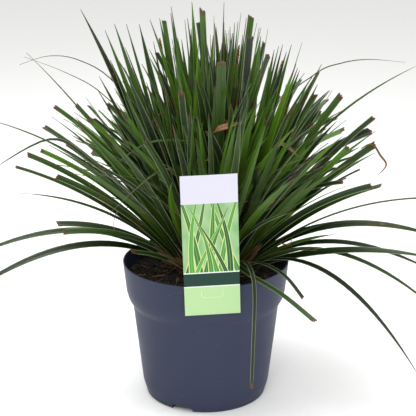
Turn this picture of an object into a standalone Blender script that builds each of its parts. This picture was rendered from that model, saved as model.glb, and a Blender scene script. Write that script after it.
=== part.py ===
"""A carex sedge in a plastic nursery pot, with a plant label hooked over the rim.

Metres, +Z up. The origin is on the surface under the middle of the pot, and -Y is the front.
The sedge is seven leafy tufts, each a crown with its blades, standing in one plain hole in the soil.
"""

import math
import random

import bmesh
import bpy
from mathutils import Matrix, Vector

MM = 0.001

# Pot
RIM_RADIUS = 0.095
POT_HEIGHT = 0.161
COLLAR_LOW_RADIUS = 0.0915
COLLAR_LOW = 0.127
WALL_TOP_RADIUS = 0.0842
WALL_TOP = 0.109
WALL_LOW_RADIUS = 0.0736
WALL_LOW = 0.016
WALL_THICKNESS = 0.0016
FOOT_RADIUS = 0.0700
FOOT_INNER_RADIUS = 0.0600
FOOT_HEIGHT = 0.006
FOOT_NOTCH_WIDTH = 0.025
FOOT_NOTCH_BEARINGS = (-113, 7, 127)
BASE_TOP = 0.0078
CENTRE_PAD_RADIUS = 0.018
DRAIN_HOLE_RADIUS = 0.0045
DRAIN_HOLE_CIRCLE = 0.044
DRAIN_HOLES = 8
ROUND_SIDES = 42

# Soil
SOIL_TOP = 0.146
SOIL_GAP = 0.0004
SOIL_HOLE_DEPTH = 0.024
SOIL_HOLE_GAP = 0.0012

# Sedge
CROWN_CENTRE = Vector((0.008, 0.020, SOIL_TOP))
CROWN_RADIUS = 0.045
CROWN_HEIGHT = 0.010
CROWN_TOP_SHARE = 0.86
ROOT_DEPTH = 0.001
LAST_ROOT = 0.036
CORE_RADIUS = 0.016
CORE_SLOPE = 0.21
TUFT_GAP = 0.0005
OUTER_TUFTS = 6
TUFT_ANGLE = math.radians(360 / OUTER_TUFTS)
FRONT = math.radians(-90)
TUFT_NAMES = (
    "tuft_front",
    "tuft_front_right",
    "tuft_back_right",
    "tuft_back",
    "tuft_back_left",
    "tuft_front_left",
    "tuft_middle",
)
MIDDLE = OUTER_TUFTS
OUTER_TILLERS = 6
MIDDLE_TILLERS = 6
BLADES_PER_TILLER = 4
FOLD = 0.30
SIDE_CHORD = 0.240
SEED = 52

# Label
LABEL_WIDTH = 0.060
LABEL_HEIGHT = 0.160
LABEL_THICKNESS = 0.0007
LABEL_BELOW_RIM = 0.031
LABEL_LEAN = math.radians(4)
LABEL_ROLL = math.radians(-2)
LABEL_BEARING = math.radians(4)
LABEL_GAP = 0.0004
TONGUE_WIDTH = 0.020
TONGUE_ABOVE_RIM = 0.022
TONGUE_BELOW_RIM = 0.011
# The space round the label that the blades keep out of.
LABEL_ZONE_MIDDLE = 0.005
LABEL_ZONE_SIDE = 0.033
LABEL_ZONE_BACK = -0.082
LABEL_ZONE_FRONT = -0.130


def clear_scene():
    for thing in list(bpy.data.objects):
        bpy.data.objects.remove(thing, do_unlink=True)


def material(name, colour, roughness):
    made = bpy.data.materials.new(name)
    made.use_nodes = True
    shader = made.node_tree.nodes["Principled BSDF"]
    shader.inputs["Base Color"].default_value = (*colour, 1)
    shader.inputs["Roughness"].default_value = roughness
    return made


def object_from(bm, name, finish=None):
    mesh = bpy.data.meshes.new(name)
    bm.to_mesh(mesh)
    bm.free()
    made = bpy.data.objects.new(name, mesh)
    bpy.context.scene.collection.objects.link(made)
    if finish:
        mesh.materials.append(finish)
    return made


def apply_modifiers(thing):
    bpy.context.view_layer.update()
    graph = bpy.context.evaluated_depsgraph_get()
    mesh = bpy.data.meshes.new_from_object(thing.evaluated_get(graph))
    thing.modifiers.clear()
    thing.data = mesh


def cut(thing, cutters):
    """Cuts closed shapes out of an object and removes them."""
    for cutter in cutters:
        cutter.hide_render = True
        boolean = thing.modifiers.new("Cut", "BOOLEAN")
        boolean.operation = "DIFFERENCE"
        boolean.object = cutter
    apply_modifiers(thing)
    for cutter in cutters:
        bpy.data.objects.remove(cutter, do_unlink=True)


def turned(profile, name, finish=None):
    """A closed round solid from an outline of (radius, height) that starts and ends on the axis."""
    bm = bmesh.new()
    points = [bm.verts.new((radius, 0, height)) for radius, height in profile]
    edges = [bm.edges.new(pair) for pair in zip(points, points[1:])]
    bmesh.ops.spin(
        bm,
        geom=points + edges,
        cent=(0, 0, 0),
        axis=(0, 0, 1),
        angle=2 * math.pi,
        steps=ROUND_SIDES,
        use_merge=True,
    )
    bmesh.ops.remove_doubles(bm, verts=bm.verts, dist=0.00001)
    bmesh.ops.dissolve_degenerate(bm, edges=bm.edges, dist=0.00001)
    bmesh.ops.recalc_face_normals(bm, faces=bm.faces)
    made = object_from(bm, name, finish)
    made.data.shade_smooth()
    made.data.set_sharp_from_angle(angle=math.radians(35))
    return made


def block(size, centre, name, turn=0.0):
    bm = bmesh.new()
    bmesh.ops.create_cube(bm, size=1)
    bmesh.ops.scale(bm, vec=size, verts=bm.verts)
    bmesh.ops.translate(bm, vec=centre, verts=bm.verts)
    bmesh.ops.rotate(bm, cent=(0, 0, 0), matrix=Matrix.Rotation(turn, 3, "Z"), verts=bm.verts)
    return object_from(bm, name)


def rod(radius, low, high, centre, name, sides):
    bm = bmesh.new()
    bmesh.ops.create_cone(
        bm, cap_ends=True, segments=sides, radius1=radius, radius2=radius, depth=high - low
    )
    bmesh.ops.translate(bm, vec=(centre[0], centre[1], (low + high) / 2), verts=bm.verts)
    return object_from(bm, name)


def inner_wall():
    """The pot's inside from its floor to its mouth, as (radius, height)."""
    return (
        (WALL_LOW_RADIUS - 0.0046, BASE_TOP),
        (WALL_LOW_RADIUS - WALL_THICKNESS, WALL_LOW - 0.002),
        (WALL_TOP_RADIUS - WALL_THICKNESS, WALL_TOP),
        (COLLAR_LOW_RADIUS - WALL_THICKNESS, COLLAR_LOW - 0.002),
        (RIM_RADIUS - WALL_THICKNESS, POT_HEIGHT),
    )


def inner_radius(height):
    """The radius of the pot's inside at a height."""
    for (r0, z0), (r1, z1) in zip(inner_wall(), inner_wall()[1:]):
        if height <= z1:
            return r0 + (r1 - r0) * (height - z0) / (z1 - z0)
    return RIM_RADIUS - WALL_THICKNESS


def make_pot():
    step = COLLAR_LOW - WALL_TOP
    outside = (
        (RIM_RADIUS - 0.0004, POT_HEIGHT),
        (RIM_RADIUS, POT_HEIGHT - 0.0006),
        (COLLAR_LOW_RADIUS, COLLAR_LOW),
        (COLLAR_LOW_RADIUS - 0.0012, COLLAR_LOW - 0.30 * step),
        (COLLAR_LOW_RADIUS - 0.0040, COLLAR_LOW - 0.65 * step),
        (WALL_TOP_RADIUS + 0.0008, COLLAR_LOW - 0.88 * step),
        (WALL_TOP_RADIUS, WALL_TOP),
        (WALL_LOW_RADIUS, WALL_LOW),
        (WALL_LOW_RADIUS - 0.0009, WALL_LOW - 0.005),
        (FOOT_RADIUS + 0.0012, FOOT_HEIGHT + 0.0014),
        (FOOT_RADIUS + 0.0004, FOOT_HEIGHT),
        (FOOT_RADIUS - 0.0006, 0),
        (FOOT_INNER_RADIUS, 0),
        (FOOT_INNER_RADIUS - 0.0006, FOOT_HEIGHT),
        (CENTRE_PAD_RADIUS + 0.0010, FOOT_HEIGHT),
        (CENTRE_PAD_RADIUS, 0),
        (0, 0),
    )
    profile = ((0, BASE_TOP), *inner_wall(), *outside)
    pot = turned(profile, "pot", material("Pot plastic", (0.055, 0.062, 0.100), 0.45))
    cutters = [
        block(
            (2 * FOOT_RADIUS, FOOT_NOTCH_WIDTH, 2 * FOOT_HEIGHT - 0.0008),
            (FOOT_RADIUS + 0.040, 0, 0),
            "notch",
            math.radians(bearing),
        )
        for bearing in FOOT_NOTCH_BEARINGS
    ]
    for index in range(DRAIN_HOLES):
        bearing = 2 * math.pi * (index + 0.5) / DRAIN_HOLES
        centre = (DRAIN_HOLE_CIRCLE * math.cos(bearing), DRAIN_HOLE_CIRCLE * math.sin(bearing))
        cutters.append(rod(DRAIN_HOLE_RADIUS, 0.002, 0.012, centre, "drain", 10))
    cut(pot, cutters)
    return pot


def make_soil():
    sides = [(radius - SOIL_GAP, height + SOIL_GAP) for radius, height in inner_wall()[:4]]
    edge = inner_radius(SOIL_TOP) - SOIL_GAP
    profile = (
        (0, BASE_TOP + SOIL_GAP),
        *sides,
        (edge, SOIL_TOP - 0.003),
        (0.86 * edge, SOIL_TOP - 0.0005),
        (0.70 * edge, SOIL_TOP),
        (0, SOIL_TOP),
    )
    soil = turned(profile, "soil", material("Potting soil", (0.030, 0.022, 0.016), 0.95))
    hole = rod(
        CROWN_RADIUS + SOIL_HOLE_GAP,
        SOIL_TOP - SOIL_HOLE_DEPTH,
        SOIL_TOP + 0.010,
        CROWN_CENTRE,
        "hole",
        36,
    )
    cut(soil, [hole])
    return soil


def bearing_of(index):
    """The direction that an outer tuft faces, from the crown's centre."""
    return FRONT + TUFT_ANGLE * index


def core_distance(index, point):
    """How far a point is outside the middle tuft's leaning face on this side."""
    bearing = bearing_of(index)
    away = point - CROWN_CENTRE
    across = away.x * math.cos(bearing) + away.y * math.sin(bearing)
    return (across - CORE_RADIUS - CORE_SLOPE * away.z) / math.hypot(1, CORE_SLOPE)


def room_in(index, point):
    """The distance from a point to the nearest border of its tuft's share of the space."""
    if index == MIDDLE:
        return min(-core_distance(side, point) for side in range(OUTER_TUFTS))
    away = point - CROWN_CENTRE
    low = bearing_of(index) - TUFT_ANGLE / 2
    high = bearing_of(index) + TUFT_ANGLE / 2
    return min(
        away.y * math.cos(low) - away.x * math.sin(low),
        away.x * math.sin(high) - away.y * math.cos(high),
        core_distance(index, point),
    )


def clear_of_holder(point, margin):
    """True if a point keeps this margin from the pot, the soil and the label."""
    from_axis = math.hypot(point.x, point.y)
    from_crown = math.hypot(point.x - CROWN_CENTRE.x, point.y - CROWN_CENTRE.y)
    if from_axis < RIM_RADIUS + margin:
        floor = SOIL_TOP if from_axis < inner_radius(SOIL_TOP) - margin else POT_HEIGHT
        if point.z < floor + margin and from_crown > CROWN_RADIUS + SOIL_HOLE_GAP - margin:
            return False
    beside = abs(point.x - LABEL_ZONE_MIDDLE) > LABEL_ZONE_SIDE + margin
    above = point.z > POT_HEIGHT - LABEL_BELOW_RIM + LABEL_HEIGHT + margin
    behind = point.y > LABEL_ZONE_BACK + margin
    return behind or beside or above or point.y < LABEL_ZONE_FRONT


def on_curve(points, share):
    """A point on a blade's midline: a quadratic curve through three points, a smooth spline through more."""
    if len(points) == 3:
        root, shoulder, tip = points
        return (
            root * (1 - share) ** 2
            + shoulder * (2 * share * (1 - share))
            + tip * share**2
        )
    along = share * (len(points) - 1)
    index = min(int(along), len(points) - 2)
    step = along - index
    before = points[max(index - 1, 0)]
    start, end = points[index], points[index + 1]
    after = points[min(index + 2, len(points) - 1)]
    return 0.5 * (
        2 * start
        + (end - before) * step
        + (2 * before - 5 * start + 4 * end - after) * step**2
        + (3 * start - before - 3 * end + after) * step**3
    )


def half_width(blade, share):
    """Half a blade's width along its length: a narrow base, then full width, then its tip."""
    base = 0.55 + 0.45 * min(share / 0.35, 1)
    if blade["cut"]:
        return blade["width"] / 2 * base * (1 - 0.2 * share)
    taper = 1 - max((share - 0.40) / 0.60, 0) ** 2.4
    return blade["width"] / 2 * base * taper


def fits(blade):
    """True if a blade keeps to its tuft's share of the space and off the pot, soil and label."""
    samples = 16
    for index in range(samples + 1):
        share = index / samples
        point = on_curve(blade["points"], share)
        reach = half_width(blade, share) + TUFT_GAP
        if room_in(blade["tuft"], point) < reach:
            return False
        if not clear_of_holder(point, reach + 0.0012):
            return False
    return True


def arched(root, bearing, rise, chord, lift, sway):
    """A blade's root, shoulder and tip, from where it points, how long it is and how it arches."""
    launch = min(rise + lift, math.radians(87))
    tip = root + chord * Vector(
        (math.cos(rise) * math.cos(bearing), math.cos(rise) * math.sin(bearing), math.sin(rise))
    )
    aside = bearing + sway
    shoulder = root + 0.55 * chord * Vector(
        (math.cos(launch) * math.cos(aside), math.cos(launch) * math.sin(aside), math.sin(launch))
    )
    return [root, shoulder, tip]


# Blades that give the sedge its outline, seen from the front, clockwise from the left.
# Each is its tip's x, y and z in mm, its lift in degrees, its width in mm, and True where it was cut.
LEADING_BLADES = (
    (-282, -40, 166, 38, 8.0, False),
    (-272, -85, 140, 40, 9.0, False),
    (-188, -22, 196, 26, 6.0, False),
    (-168, -10, 206, 22, 8.0, True),
    (-158, -34, 204, 24, 9.0, True),
    (-206, -30, 248, 22, 3.5, False),
    (-212, -8, 272, 14, 5.5, True),
    (-160, -62, 276, 12, 8.0, True),
    (-196, -22, 290, 13, 7.0, True),
    (-178, -45, 300, 14, 9.0, True),
    (-262, 12, 330, 24, 2.6, False),
    (-172, 16, 326, 12, 3.5, False),
    (-163, -34, 346, 14, 9.5, True),
    (-196, 4, 398, 8, 2.2, False),
    (-122, -62, 338, 12, 10.0, True),
    (-137, 16, 447, 4, 12.5, False),
    (-118, 10, 372, 3, 9.0, False),
    (-104, -6, 392, 2, 10.0, False),
    (-112, 34, 418, 2, 7.5, False),
    (-98, -12, 432, 1, 10.0, False),
    (-86, 0, 430, 1, 6.0, False),
    (-76, 32, 424, 1, 10.0, False),
    (-60, -14, 437, 2, 12.0, False),
    (-38, 22, 446, 1, 6.0, False),
    (-15, 8, 453, 1, 10.5, False),
    (-4, -10, 447, 2, 11.0, True),
    (20, 4, 453, 2, 9.5, False),
    (38, -10, 443, 2, 5.0, False),
    (29, -26, 424, 2, 10.5, False),
    (59, 2, 412, 2, 12.0, False),
    (78, -26, 410, 1, 10.0, False),
    (86, 34, 402, 1, 7.5, False),
    (95, -52, 396, 2, 12.0, False),
    (100, -10, 384, 2, 9.0, False),
    (112, -30, 362, 3, 9.5, False),
    (122, 8, 352, 4, 9.0, True),
    (136, 24, 344, 5, 8.0, False),
    (106, 40, 372, 2, 10.0, False),
    (124, -4, 378, 3, 3.5, True),
    (252, 24, 384, 26, 3.2, False),
    (148, -12, 354, 6, 10.0, True),
    (184, -16, 330, 8, 8.0, True),
    (184, -34, 304, 8, 10.0, True),
    (190, -50, 262, 14, 8.0, True),
    (276, -34, 192, 34, 10.5, False),
    (264, -66, 160, 36, 8.0, False),
    (250, -86, 190, 5, 10.5, False),
    (232, -104, 62, 52, 8.0, False),
    (268, -84, 116, 46, 5.5, False),
    (138, -24, 212, 14, 7.0, False),
    (142, -40, 203, 12, 6.0, False),
    (120, -46, 190, 10, 5.5, False),
    (-110, -44, 204, 12, 8.0, False),
    (-80, -62, 190, 12, 11.0, True),
)

# Blades that hang over the rim at the front: points on their midlines, and their widths, in mm.
HANGING_BLADES = (
    (
        (
            (20, -10, 146),
            (27, -28, 164),
            (42, -64, 180),
            (50, -94, 175),
            (52, -105, 150),
            (51, -103, 100),
            (50, -98, 44),
        ),
        5.0,
    ),
    (((19, -8, 146), (30, -36, 167), (50, -84, 170), (80, -126, 165), (110, -174, 155)), 8.5),
    (((31, -4, 146), (44, -20, 162), (64, -50, 172), (86, -78, 168), (104, -100, 151)), 6.5),
)


def leading_blade(row):
    """One of the blades that give the outline, turned a little where it would cross a border."""
    x, y, z, lift, width, is_cut = row
    tip = Vector((x, y, z)) * MM
    away = tip - CROWN_CENTRE
    bearing = math.atan2(away.y, away.x)
    reach = math.hypot(away.x, away.y)
    lean = math.atan2(reach, away.z)
    from_centre = min((0.006 if lean < math.radians(16) else 0.020) + 0.015 * lean, LAST_ROOT)
    for step in range(45):
        nudge = (step // 3 + 1) // 2 * 3 * (-1) ** (step // 3)
        extra = 5 * (step % 3)
        turned_to = bearing + math.radians(nudge)
        outward = Vector((math.cos(turned_to), math.sin(turned_to), 0))
        root = CROWN_CENTRE + from_centre * outward - Vector((0, 0, ROOT_DEPTH))
        chord = CROWN_CENTRE + reach * outward + Vector((0, 0, away.z)) - root
        rise = math.atan2(chord.z, math.hypot(chord.x, chord.y))
        points = arched(root, turned_to, rise, chord.length, math.radians(lift + extra), 0)
        facing = math.cos(turned_to)
        for tuft in range(OUTER_TUFTS + 1):
            blade = {
                "tuft": tuft,
                "points": points,
                "bearing": turned_to,
                "width": width * MM,
                "roll": math.radians(12 * math.sin(x + z) + facing * (30 + 40 * math.sin(rise))),
                "twist": math.radians(20 * math.cos(x - z)),
                "cut": is_cut,
            }
            if fits(blade):
                return blade
    return None


def hanging_blade(route, width):
    """A blade that leaves its tuft low and hangs over the rim."""
    points = [Vector(point) * MM for point in route]
    away = points[-1] - points[0]
    tufts = range(OUTER_TUFTS)
    return {
        "tuft": max(tufts, key=lambda tuft: room_in(tuft, points[0])),
        "points": points,
        "bearing": math.atan2(away.y, away.x),
        "width": width * MM,
        "roll": 0,
        "twist": 0,
        "cut": True,
    }


def longest_chord(rise):
    """The sedge's size in a direction: taller upwards, trimmed at the sides, long near the ground."""
    degrees = math.degrees(rise)
    taller = 0.060 * min(max((degrees - 60) / 25, 0), 1)
    longer = 0.040 * max((20 - degrees) / 20, 0)
    return SIDE_CHORD + taller + longer


def tiller_blade(rng, tuft, from_centre, bearing):
    """One blade of a tiller, drawn again until it fits."""
    outer_share = (from_centre - 0.020) / (LAST_ROOT - 0.020)
    facing = max(-math.sin(bearing), 0)
    for attempt in range(60):
        if tuft == MIDDLE:
            rise = math.radians(89 - 12 * from_centre / CORE_RADIUS + rng.uniform(-3, 2))
            turn = rng.gauss(0, 50)
        else:
            rise = math.radians(82 - (48 - 12 * facing) * outer_share + rng.gauss(0, 8))
            turn = rng.gauss(0, 19)
        steep = max(math.sin(rise), 0)
        is_cut = rng.random() < 0.08 + 0.5 * (1 - steep)
        chord = longest_chord(rise) * rng.uniform(0.62 + 0.18 * steep, 1.0) * (1 - attempt / 110)
        lift = 0.36 * max(math.radians(78) - rise, 0) * rng.uniform(0.6, 1.3)
        width = rng.uniform(5.5, 9.0) + 3.0 * steep * rng.random()
        spread = rng.uniform(-0.002, 0.002)
        at = from_centre + rng.uniform(-0.002, 0.002)
        pointing = bearing + math.radians(turn)
        root = CROWN_CENTRE + Vector(
            (
                at * math.cos(bearing) - spread * math.sin(bearing),
                at * math.sin(bearing) + spread * math.cos(bearing),
                -ROOT_DEPTH,
            )
        )
        sway = math.radians(rng.gauss(0, 8))
        roll = math.radians(rng.gauss(0, 14 + 45 * steep))
        twist = math.radians(rng.gauss(0, 18))
        blade = {
            "tuft": tuft,
            "points": arched(root, pointing, rise, chord, lift, sway),
            "bearing": pointing,
            "width": width * MM,
            "roll": roll,
            "twist": twist,
            "cut": is_cut,
        }
        if fits(blade):
            return blade
    return None


def plan_blades():
    """Every blade of the sedge, tuft by tuft, the same on each run."""
    rng = random.Random(SEED)
    blades = [leading_blade(row) for row in LEADING_BLADES]
    blades += [hanging_blade(route, width) for route, width in HANGING_BLADES]
    golden = 0.618034
    for tuft in range(OUTER_TUFTS + 1):
        tillers = MIDDLE_TILLERS if tuft == MIDDLE else OUTER_TILLERS
        for index in range(tillers):
            share = (index + 0.5) / tillers
            if tuft == MIDDLE:
                from_centre = 0.012 * math.sqrt(share)
                bearing = 2 * math.pi * golden * index
            else:
                from_centre = 0.0215 + (LAST_ROOT - 0.0235) * share
                aside = (golden * (index + 1)) % 1 - 0.5
                bearing = bearing_of(tuft) + 0.80 * TUFT_ANGLE * aside
            for _ in range(BLADES_PER_TILLER):
                blades.append(tiller_blade(rng, tuft, from_centre, bearing))
    return [blade for blade in blades if blade]


def turn_of(points):
    """How far a blade's midline turns from root to tip."""
    start = on_curve(points, 0.1) - on_curve(points, 0)
    end = on_curve(points, 1) - on_curve(points, 0.9)
    return start.angle(end)


def blade_shares(blade):
    """Where along a blade its cross-sections are, with more of them where it bends more."""
    if len(blade["points"]) > 3:
        count = 4 * len(blade["points"]) - 8
    else:
        turn = math.degrees(turn_of(blade["points"]))
        count = 3 if turn < 16 else 4 if turn < 45 else 6
    last = 1.0 if blade["cut"] else 0.9
    return [last * index / count for index in range(count + 1)]


def make_blade(blade, name):
    """A closed blade of three sides: two halves of its upper face in one plane, and a keel below."""
    bm = bmesh.new()
    side = Vector((-math.sin(blade["bearing"]), math.cos(blade["bearing"]), 0))
    rings = []
    for share in blade_shares(blade):
        point = on_curve(blade["points"], share)
        along = on_curve(blade["points"], min(share + 0.02, 1)) - on_curve(
            blade["points"], max(share - 0.02, 0)
        )
        along.normalize()
        across = (side - along * side.dot(along)).normalized()
        across = Matrix.Rotation(blade["roll"] + blade["twist"] * share, 3, along) @ across
        up = along.cross(across)
        half = half_width(blade, share)
        keel = max(0.0010, FOLD * half)
        rings.append(
            [
                bm.verts.new(point + half * across + 0.35 * keel * up),
                bm.verts.new(point - half * across + 0.35 * keel * up),
                bm.verts.new(point - 0.65 * keel * up),
            ]
        )
    for lower, upper in zip(rings, rings[1:]):
        for index in range(3):
            following = (index + 1) % 3
            bm.faces.new((lower[index], lower[following], upper[following], upper[index]))
    bm.faces.new(rings[0])
    if blade["cut"]:
        bm.faces.new(rings[-1])
    else:
        tip = bm.verts.new(on_curve(blade["points"], 1))
        for index in range(3):
            bm.faces.new((rings[-1][index], rings[-1][(index + 1) % 3], tip))
    bmesh.ops.recalc_face_normals(bm, faces=bm.faces)
    return object_from(bm, name)


def crown_ring(tuft, height, radius):
    """The outline of a tuft's crown at a height, inset from its neighbours."""
    rise = height - CROWN_CENTRE.z
    core = CORE_RADIUS + CORE_SLOPE * rise
    if tuft == MIDDLE:
        corner = (core - TUFT_GAP) / math.cos(TUFT_ANGLE / 2)
        bearings = [bearing_of(side) + TUFT_ANGLE / 2 for side in range(OUTER_TUFTS)]
        corners = [(corner * math.cos(b), corner * math.sin(b)) for b in bearings]
    else:
        half = TUFT_ANGLE / 2
        inner = core + TUFT_GAP
        inset = TUFT_GAP / math.cos(half)
        inner_half = inner * math.tan(half) - inset
        outer_half = half - math.asin(TUFT_GAP / radius)
        steps = 4
        arc = [outer_half * (2 * index / steps - 1) for index in range(steps + 1)]
        corners = [(inner, inner_half), (inner, -inner_half)]
        corners += [(radius * math.cos(angle), radius * math.sin(angle)) for angle in arc]
        turn = bearing_of(tuft)
        corners = [
            (
                x * math.cos(turn) - y * math.sin(turn),
                x * math.sin(turn) + y * math.cos(turn),
            )
            for x, y in corners
        ]
    return [Vector((CROWN_CENTRE.x + x, CROWN_CENTRE.y + y, height)) for x, y in corners]


def make_crown(tuft, name, finish):
    """The tuft's short woody base, from the bottom of the soil's hole to a little above the soil."""
    low = SOIL_TOP - SOIL_HOLE_DEPTH + SOIL_GAP
    levels = (
        (low, CROWN_RADIUS),
        (SOIL_TOP, CROWN_RADIUS),
        (SOIL_TOP + CROWN_HEIGHT, CROWN_TOP_SHARE * CROWN_RADIUS),
    )
    bm = bmesh.new()
    rings = [
        [bm.verts.new(corner) for corner in crown_ring(tuft, height, radius)]
        for height, radius in levels
    ]
    for lower, upper in zip(rings, rings[1:]):
        for index in range(len(lower)):
            following = (index + 1) % len(lower)
            bm.faces.new((lower[index], lower[following], upper[following], upper[index]))
    bm.faces.new(rings[0])
    bm.faces.new(rings[-1])
    bmesh.ops.recalc_face_normals(bm, faces=bm.faces)
    return object_from(bm, name, finish)


def fill_pockets(thing):
    """Keeps only the outer skin, which fills the small pockets shut in where blades cross."""
    bm = bmesh.new()
    bm.from_mesh(thing.data)
    shells = []
    unseen = set(bm.faces)
    while unseen:
        shell = []
        waiting = [unseen.pop()]
        while waiting:
            face = waiting.pop()
            shell.append(face)
            for edge in face.edges:
                for other in edge.link_faces:
                    if other in unseen:
                        unseen.remove(other)
                        waiting.append(other)
        shells.append(shell)
    shells.sort(key=len)
    inner = [face for shell in shells[:-1] for face in shell]
    bmesh.ops.delete(bm, geom=inner, context="FACES")
    bm.to_mesh(thing.data)
    bm.free()


def make_tuft(tuft, blades, finish):
    """A crown and its blades, fused into one solid."""
    crown = make_crown(tuft, TUFT_NAMES[tuft], finish)
    bunch = bpy.data.collections.new(TUFT_NAMES[tuft] + "_blades")
    bpy.context.scene.collection.children.link(bunch)
    for blade in blades:
        made = make_blade(blade, "blade")
        bpy.context.scene.collection.objects.unlink(made)
        bunch.objects.link(made)
    union = crown.modifiers.new("Fused blades", "BOOLEAN")
    union.operation = "UNION"
    union.operand_type = "COLLECTION"
    union.collection = bunch
    union.solver = "MANIFOLD"
    apply_modifiers(crown)
    fill_pockets(crown)
    for made in list(bunch.objects):
        bpy.data.objects.remove(made, do_unlink=True)
    bpy.data.collections.remove(bunch)
    return crown


def make_label():
    """A flat card outside the rim, and a narrow tongue inside it that hooks the card on."""
    rest = RIM_RADIUS + LABEL_GAP
    inside = RIM_RADIUS - WALL_THICKNESS - 0.0030
    inside -= RIM_RADIUS * (1 - math.cos(TONGUE_WIDTH / 2 / RIM_RADIUS))
    card = block(
        (LABEL_WIDTH, LABEL_THICKNESS, LABEL_HEIGHT),
        (0, -LABEL_THICKNESS / 2, LABEL_HEIGHT / 2 - LABEL_BELOW_RIM),
        "label",
    )
    card.data.transform(Matrix.Rotation(LABEL_LEAN, 4, "X") @ Matrix.Rotation(LABEL_ROLL, 4, "Y"))
    card.data.transform(Matrix.Translation((0, -rest, POT_HEIGHT)))
    card.data.materials.append(material("Label plastic", (0.80, 0.84, 0.78), 0.4))
    fold = block(
        (TONGUE_WIDTH, rest - inside + 0.0030, LABEL_THICKNESS),
        (0, -(rest + inside + 0.0026) / 2, POT_HEIGHT + TONGUE_ABOVE_RIM),
        "fold",
    )
    tongue = block(
        (TONGUE_WIDTH, LABEL_THICKNESS, TONGUE_ABOVE_RIM + TONGUE_BELOW_RIM),
        (0, -inside, POT_HEIGHT + (TONGUE_ABOVE_RIM - TONGUE_BELOW_RIM) / 2),
        "tongue",
    )
    for piece in (fold, tongue):
        union = card.modifiers.new("Joined", "BOOLEAN")
        union.operation = "UNION"
        union.object = piece
    apply_modifiers(card)
    for piece in (fold, tongue):
        bpy.data.objects.remove(piece, do_unlink=True)
    card.data.transform(Matrix.Rotation(LABEL_BEARING, 4, "Z"))
    return card


def main():
    clear_scene()
    make_pot()
    make_soil()
    make_label()
    leaf = material("Sedge leaf", (0.045, 0.130, 0.030), 0.45)
    blades = plan_blades()
    for tuft in range(OUTER_TUFTS + 1):
        make_tuft(tuft, [blade for blade in blades if blade["tuft"] == tuft], leaf)


main()
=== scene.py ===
"""The looks of a carex sedge in a plastic nursery pot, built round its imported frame."""

import math
import random

import bmesh
import bpy
from mathutils import Matrix, Vector, noise


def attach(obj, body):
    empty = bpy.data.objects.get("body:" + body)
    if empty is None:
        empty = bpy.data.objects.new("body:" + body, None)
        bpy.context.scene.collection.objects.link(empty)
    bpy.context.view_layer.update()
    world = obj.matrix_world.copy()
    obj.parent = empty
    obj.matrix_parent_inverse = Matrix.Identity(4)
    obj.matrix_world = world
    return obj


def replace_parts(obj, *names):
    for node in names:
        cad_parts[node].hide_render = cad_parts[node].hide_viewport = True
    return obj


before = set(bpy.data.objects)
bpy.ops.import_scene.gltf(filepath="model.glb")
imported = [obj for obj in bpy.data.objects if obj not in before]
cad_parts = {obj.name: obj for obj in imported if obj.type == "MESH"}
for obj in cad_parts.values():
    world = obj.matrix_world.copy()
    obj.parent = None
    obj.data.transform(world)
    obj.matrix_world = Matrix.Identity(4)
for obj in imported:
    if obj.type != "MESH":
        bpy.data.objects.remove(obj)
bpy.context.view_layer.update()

# Studio
# The camera stands as in the photo, 1.3 m in front of the pot, and looks a little down.
# A white floor, a large soft light above and weaker ones in front and beside give the pale, even ground.

CAMERA_PLACE = Vector((0, -1.300, 0.622))
CAMERA_PITCH = math.radians(17.12)
CAMERA_TURN = math.radians(-0.11)
FOCAL_PIXELS = 1200
PHOTO_PIXELS = 416
SENSOR = 36


def link(thing):
    bpy.context.scene.collection.objects.link(thing)
    return thing


def feed(tree, socket, value):
    """Sets a socket, or links it where the value is another node's output."""
    if isinstance(value, bpy.types.NodeSocket):
        tree.links.new(value, socket)
    else:
        socket.default_value = value


def node(tree, kind, inputs=None, **settings):
    made = tree.nodes.new(kind)
    for name, value in settings.items():
        setattr(made, name, value)
    for name, value in (inputs or {}).items():
        feed(tree, made.inputs[name], value)
    return made


def mixed(tree, share, first, second):
    """The colour this share of the way from the first to the second."""
    made = node(tree, "ShaderNodeMix", data_type="RGBA")
    for socket, value in zip((made.inputs[0], made.inputs[6], made.inputs[7]), (share, first, second)):
        feed(tree, socket, (*value, 1) if isinstance(value, tuple) else value)
    return made.outputs[2]


def ranged(tree, value, low, high, start=0.0, end=1.0):
    """A value that runs from start to end as another goes from low to high, and stays there."""
    made = node(
        tree,
        "ShaderNodeMapRange",
        {"Value": value, "From Min": low, "From Max": high, "To Min": start, "To Max": end},
    )
    return made.outputs["Result"]


def calc(tree, operation, *values):
    made = node(tree, "ShaderNodeMath", operation=operation)
    for socket, value in zip(made.inputs, values):
        feed(tree, socket, value)
    return made.outputs[0]


def cloudy(tree, place, scale, detail=3.0, distortion=0.0):
    """Fractal noise about 0.5."""
    inputs = {"Vector": place, "Scale": scale, "Detail": detail, "Distortion": distortion}
    return node(tree, "ShaderNodeTexNoise", inputs).outputs["Fac"]


def raised(tree, shader, height, strength, distance):
    relief = node(
        tree, "ShaderNodeBump", {"Height": height, "Strength": strength, "Distance": distance}
    )
    tree.links.new(relief.outputs["Normal"], shader.inputs["Normal"])


def new_finish(name, roughness, specular=0.5):
    """A new material, its tree, its shader and its Object coordinates."""
    made = bpy.data.materials.new(name)
    made.use_nodes = True
    shader = made.node_tree.nodes["Principled BSDF"]
    shader.inputs["Roughness"].default_value = roughness
    shader.inputs["Specular IOR Level"].default_value = specular
    place = node(made.node_tree, "ShaderNodeTexCoord").outputs["Object"]
    return made, made.node_tree, shader, place


camera = link(bpy.data.objects.new("camera", bpy.data.cameras.new("camera")))
camera.data.sensor_width = SENSOR
camera.data.lens = SENSOR * FOCAL_PIXELS / PHOTO_PIXELS
camera.data.clip_end = 20
camera.location = CAMERA_PLACE
camera.rotation_euler = (math.pi / 2 - CAMERA_PITCH, 0, CAMERA_TURN)
bpy.context.scene.camera = camera
bpy.context.scene.view_settings.view_transform = "Standard"

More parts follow.
